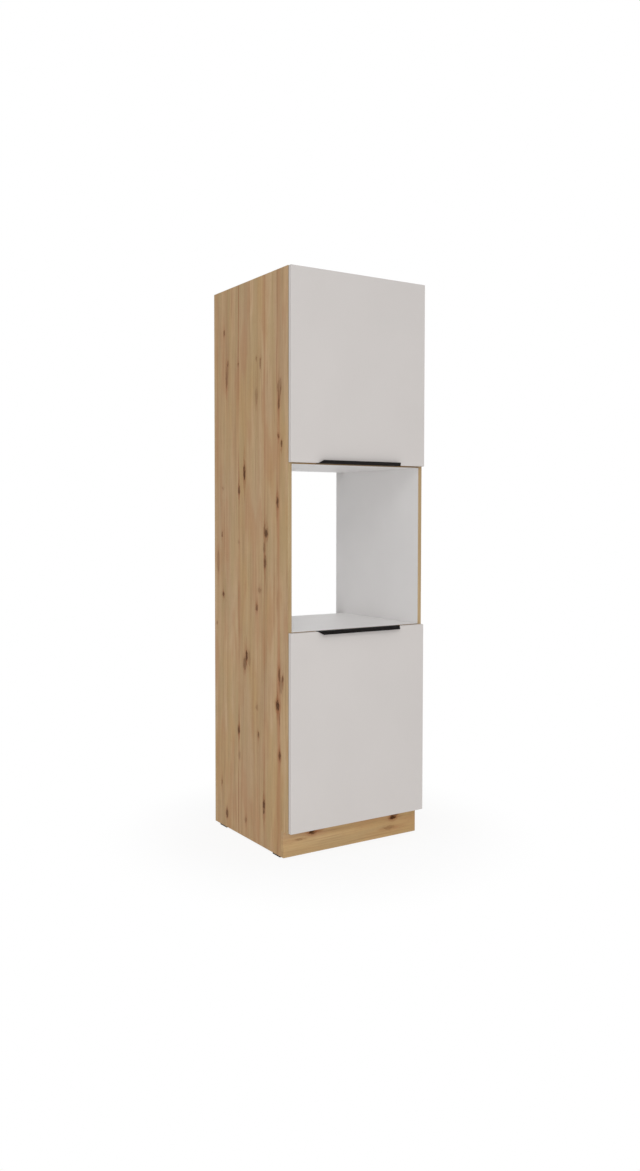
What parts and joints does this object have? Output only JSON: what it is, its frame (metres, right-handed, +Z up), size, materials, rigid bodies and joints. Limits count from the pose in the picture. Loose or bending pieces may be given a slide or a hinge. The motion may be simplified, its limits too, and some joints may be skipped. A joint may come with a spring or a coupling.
{
  "type": "tall oven housing unit",
  "caption": "Tall kitchen cabinet for a built-in oven: an open niche between two hinged doors, on a recessed plinth with foot glides.",
  "frame": {"origin": "on the floor, at the centre of the footprint with the handles counted in", "axes": "+Z up, doors face -Y, +X to the right seen from the front"},
  "size_m": [0.6, 0.59, 2.1],
  "materials": {
    "oak_board": "knotty oak decor on chipboard, matt",
    "white_board": "white melamine on chipboard",
    "door_front": "matt cashmere grey foil on fibreboard",
    "back_board": "white faced thin fibreboard",
    "oak_band": "oak printed edge band",
    "white_band": "white edge band",
    "black_metal": "black powder coat",
    "black_plastic": "moulded black",
    "plated_steel": "nickel plated",
    "zinc": "die cast, zinc plated",
    "beech": "raw",
    "clear_rubber": "clear silicone"
  },
  "bodies": {
    "carcass": {"side_panel_left": "oak_board", "side_panel_right": "oak_board", "top_panel": "white_board", "bottom_panel": "white_board", "niche_floor_board": "white_board", "niche_ceiling_board": "white_board", "upper_shelf": "white_board", "lower_shelf": "white_board", "back_panel_upper": "back_board", "back_panel_lower": "back_board", "plinth_board": "oak_board", "side_edge_bands": "oak_band", "board_edge_bands": "oak_band", "shelf_edge_bands": "white_band", "foot_glides": "black_plastic", "glide_nails": "zinc", "shelf_pins": "plated_steel", "cam_housings": "zinc", "cam_bolts": "plated_steel", "dowels": "beech", "back_nails": "zinc", "wall_brackets": "zinc", "bracket_screws": "zinc", "hinge_plates": "plated_steel", "plate_screws": "zinc", "hinge_arms": "plated_steel", "arm_screws": "zinc", "hinge_pins": "zinc"},
    "door_upper": {"door_upper": "door_front", "handle_upper": "black_metal", "handle_screws_upper": "black_metal", "hinge_cups_upper": "plated_steel", "cup_screws_upper": "zinc", "bumpers_upper": "clear_rubber"},
    "door_lower": {"door_lower": "door_front", "handle_lower": "black_metal", "handle_screws_lower": "black_metal", "hinge_cups_lower": "plated_steel", "cup_screws_lower": "zinc", "bumpers_lower": "clear_rubber"},
    "links_upper": {"hinge_links_upper": "plated_steel"},
    "links_lower": {"hinge_links_lower": "plated_steel"}
  },
  "joints": [
    {"name": "door_upper_swing", "type": "hinge", "parent": "carcass", "child": "door_upper", "pos_m": [0.2965, -0.274, 1.758], "axis": [0, 0, 1], "range_deg": [0, 100]},
    {"name": "door_lower_swing", "type": "hinge", "parent": "carcass", "child": "door_lower", "pos_m": [0.2965, -0.274, 0.459], "axis": [0, 0, 1], "range_deg": [0, 100]},
    {"name": "links_upper_turn", "type": "hinge", "parent": "carcass", "child": "links_upper", "pos_m": [0.281, -0.265, 1.758], "axis": [0, 0, 1], "range_deg": [0, 90]},
    {"name": "links_lower_turn", "type": "hinge", "parent": "carcass", "child": "links_lower", "pos_m": [0.281, -0.265, 0.459], "axis": [0, 0, 1], "range_deg": [0, 90]}
  ],
  "couplings": [
    {"joint": "links_upper_turn", "follows": "door_upper_swing", "ratio": 0.9},
    {"joint": "links_lower_turn", "follows": "door_lower_swing", "ratio": 0.9}
  ]
}
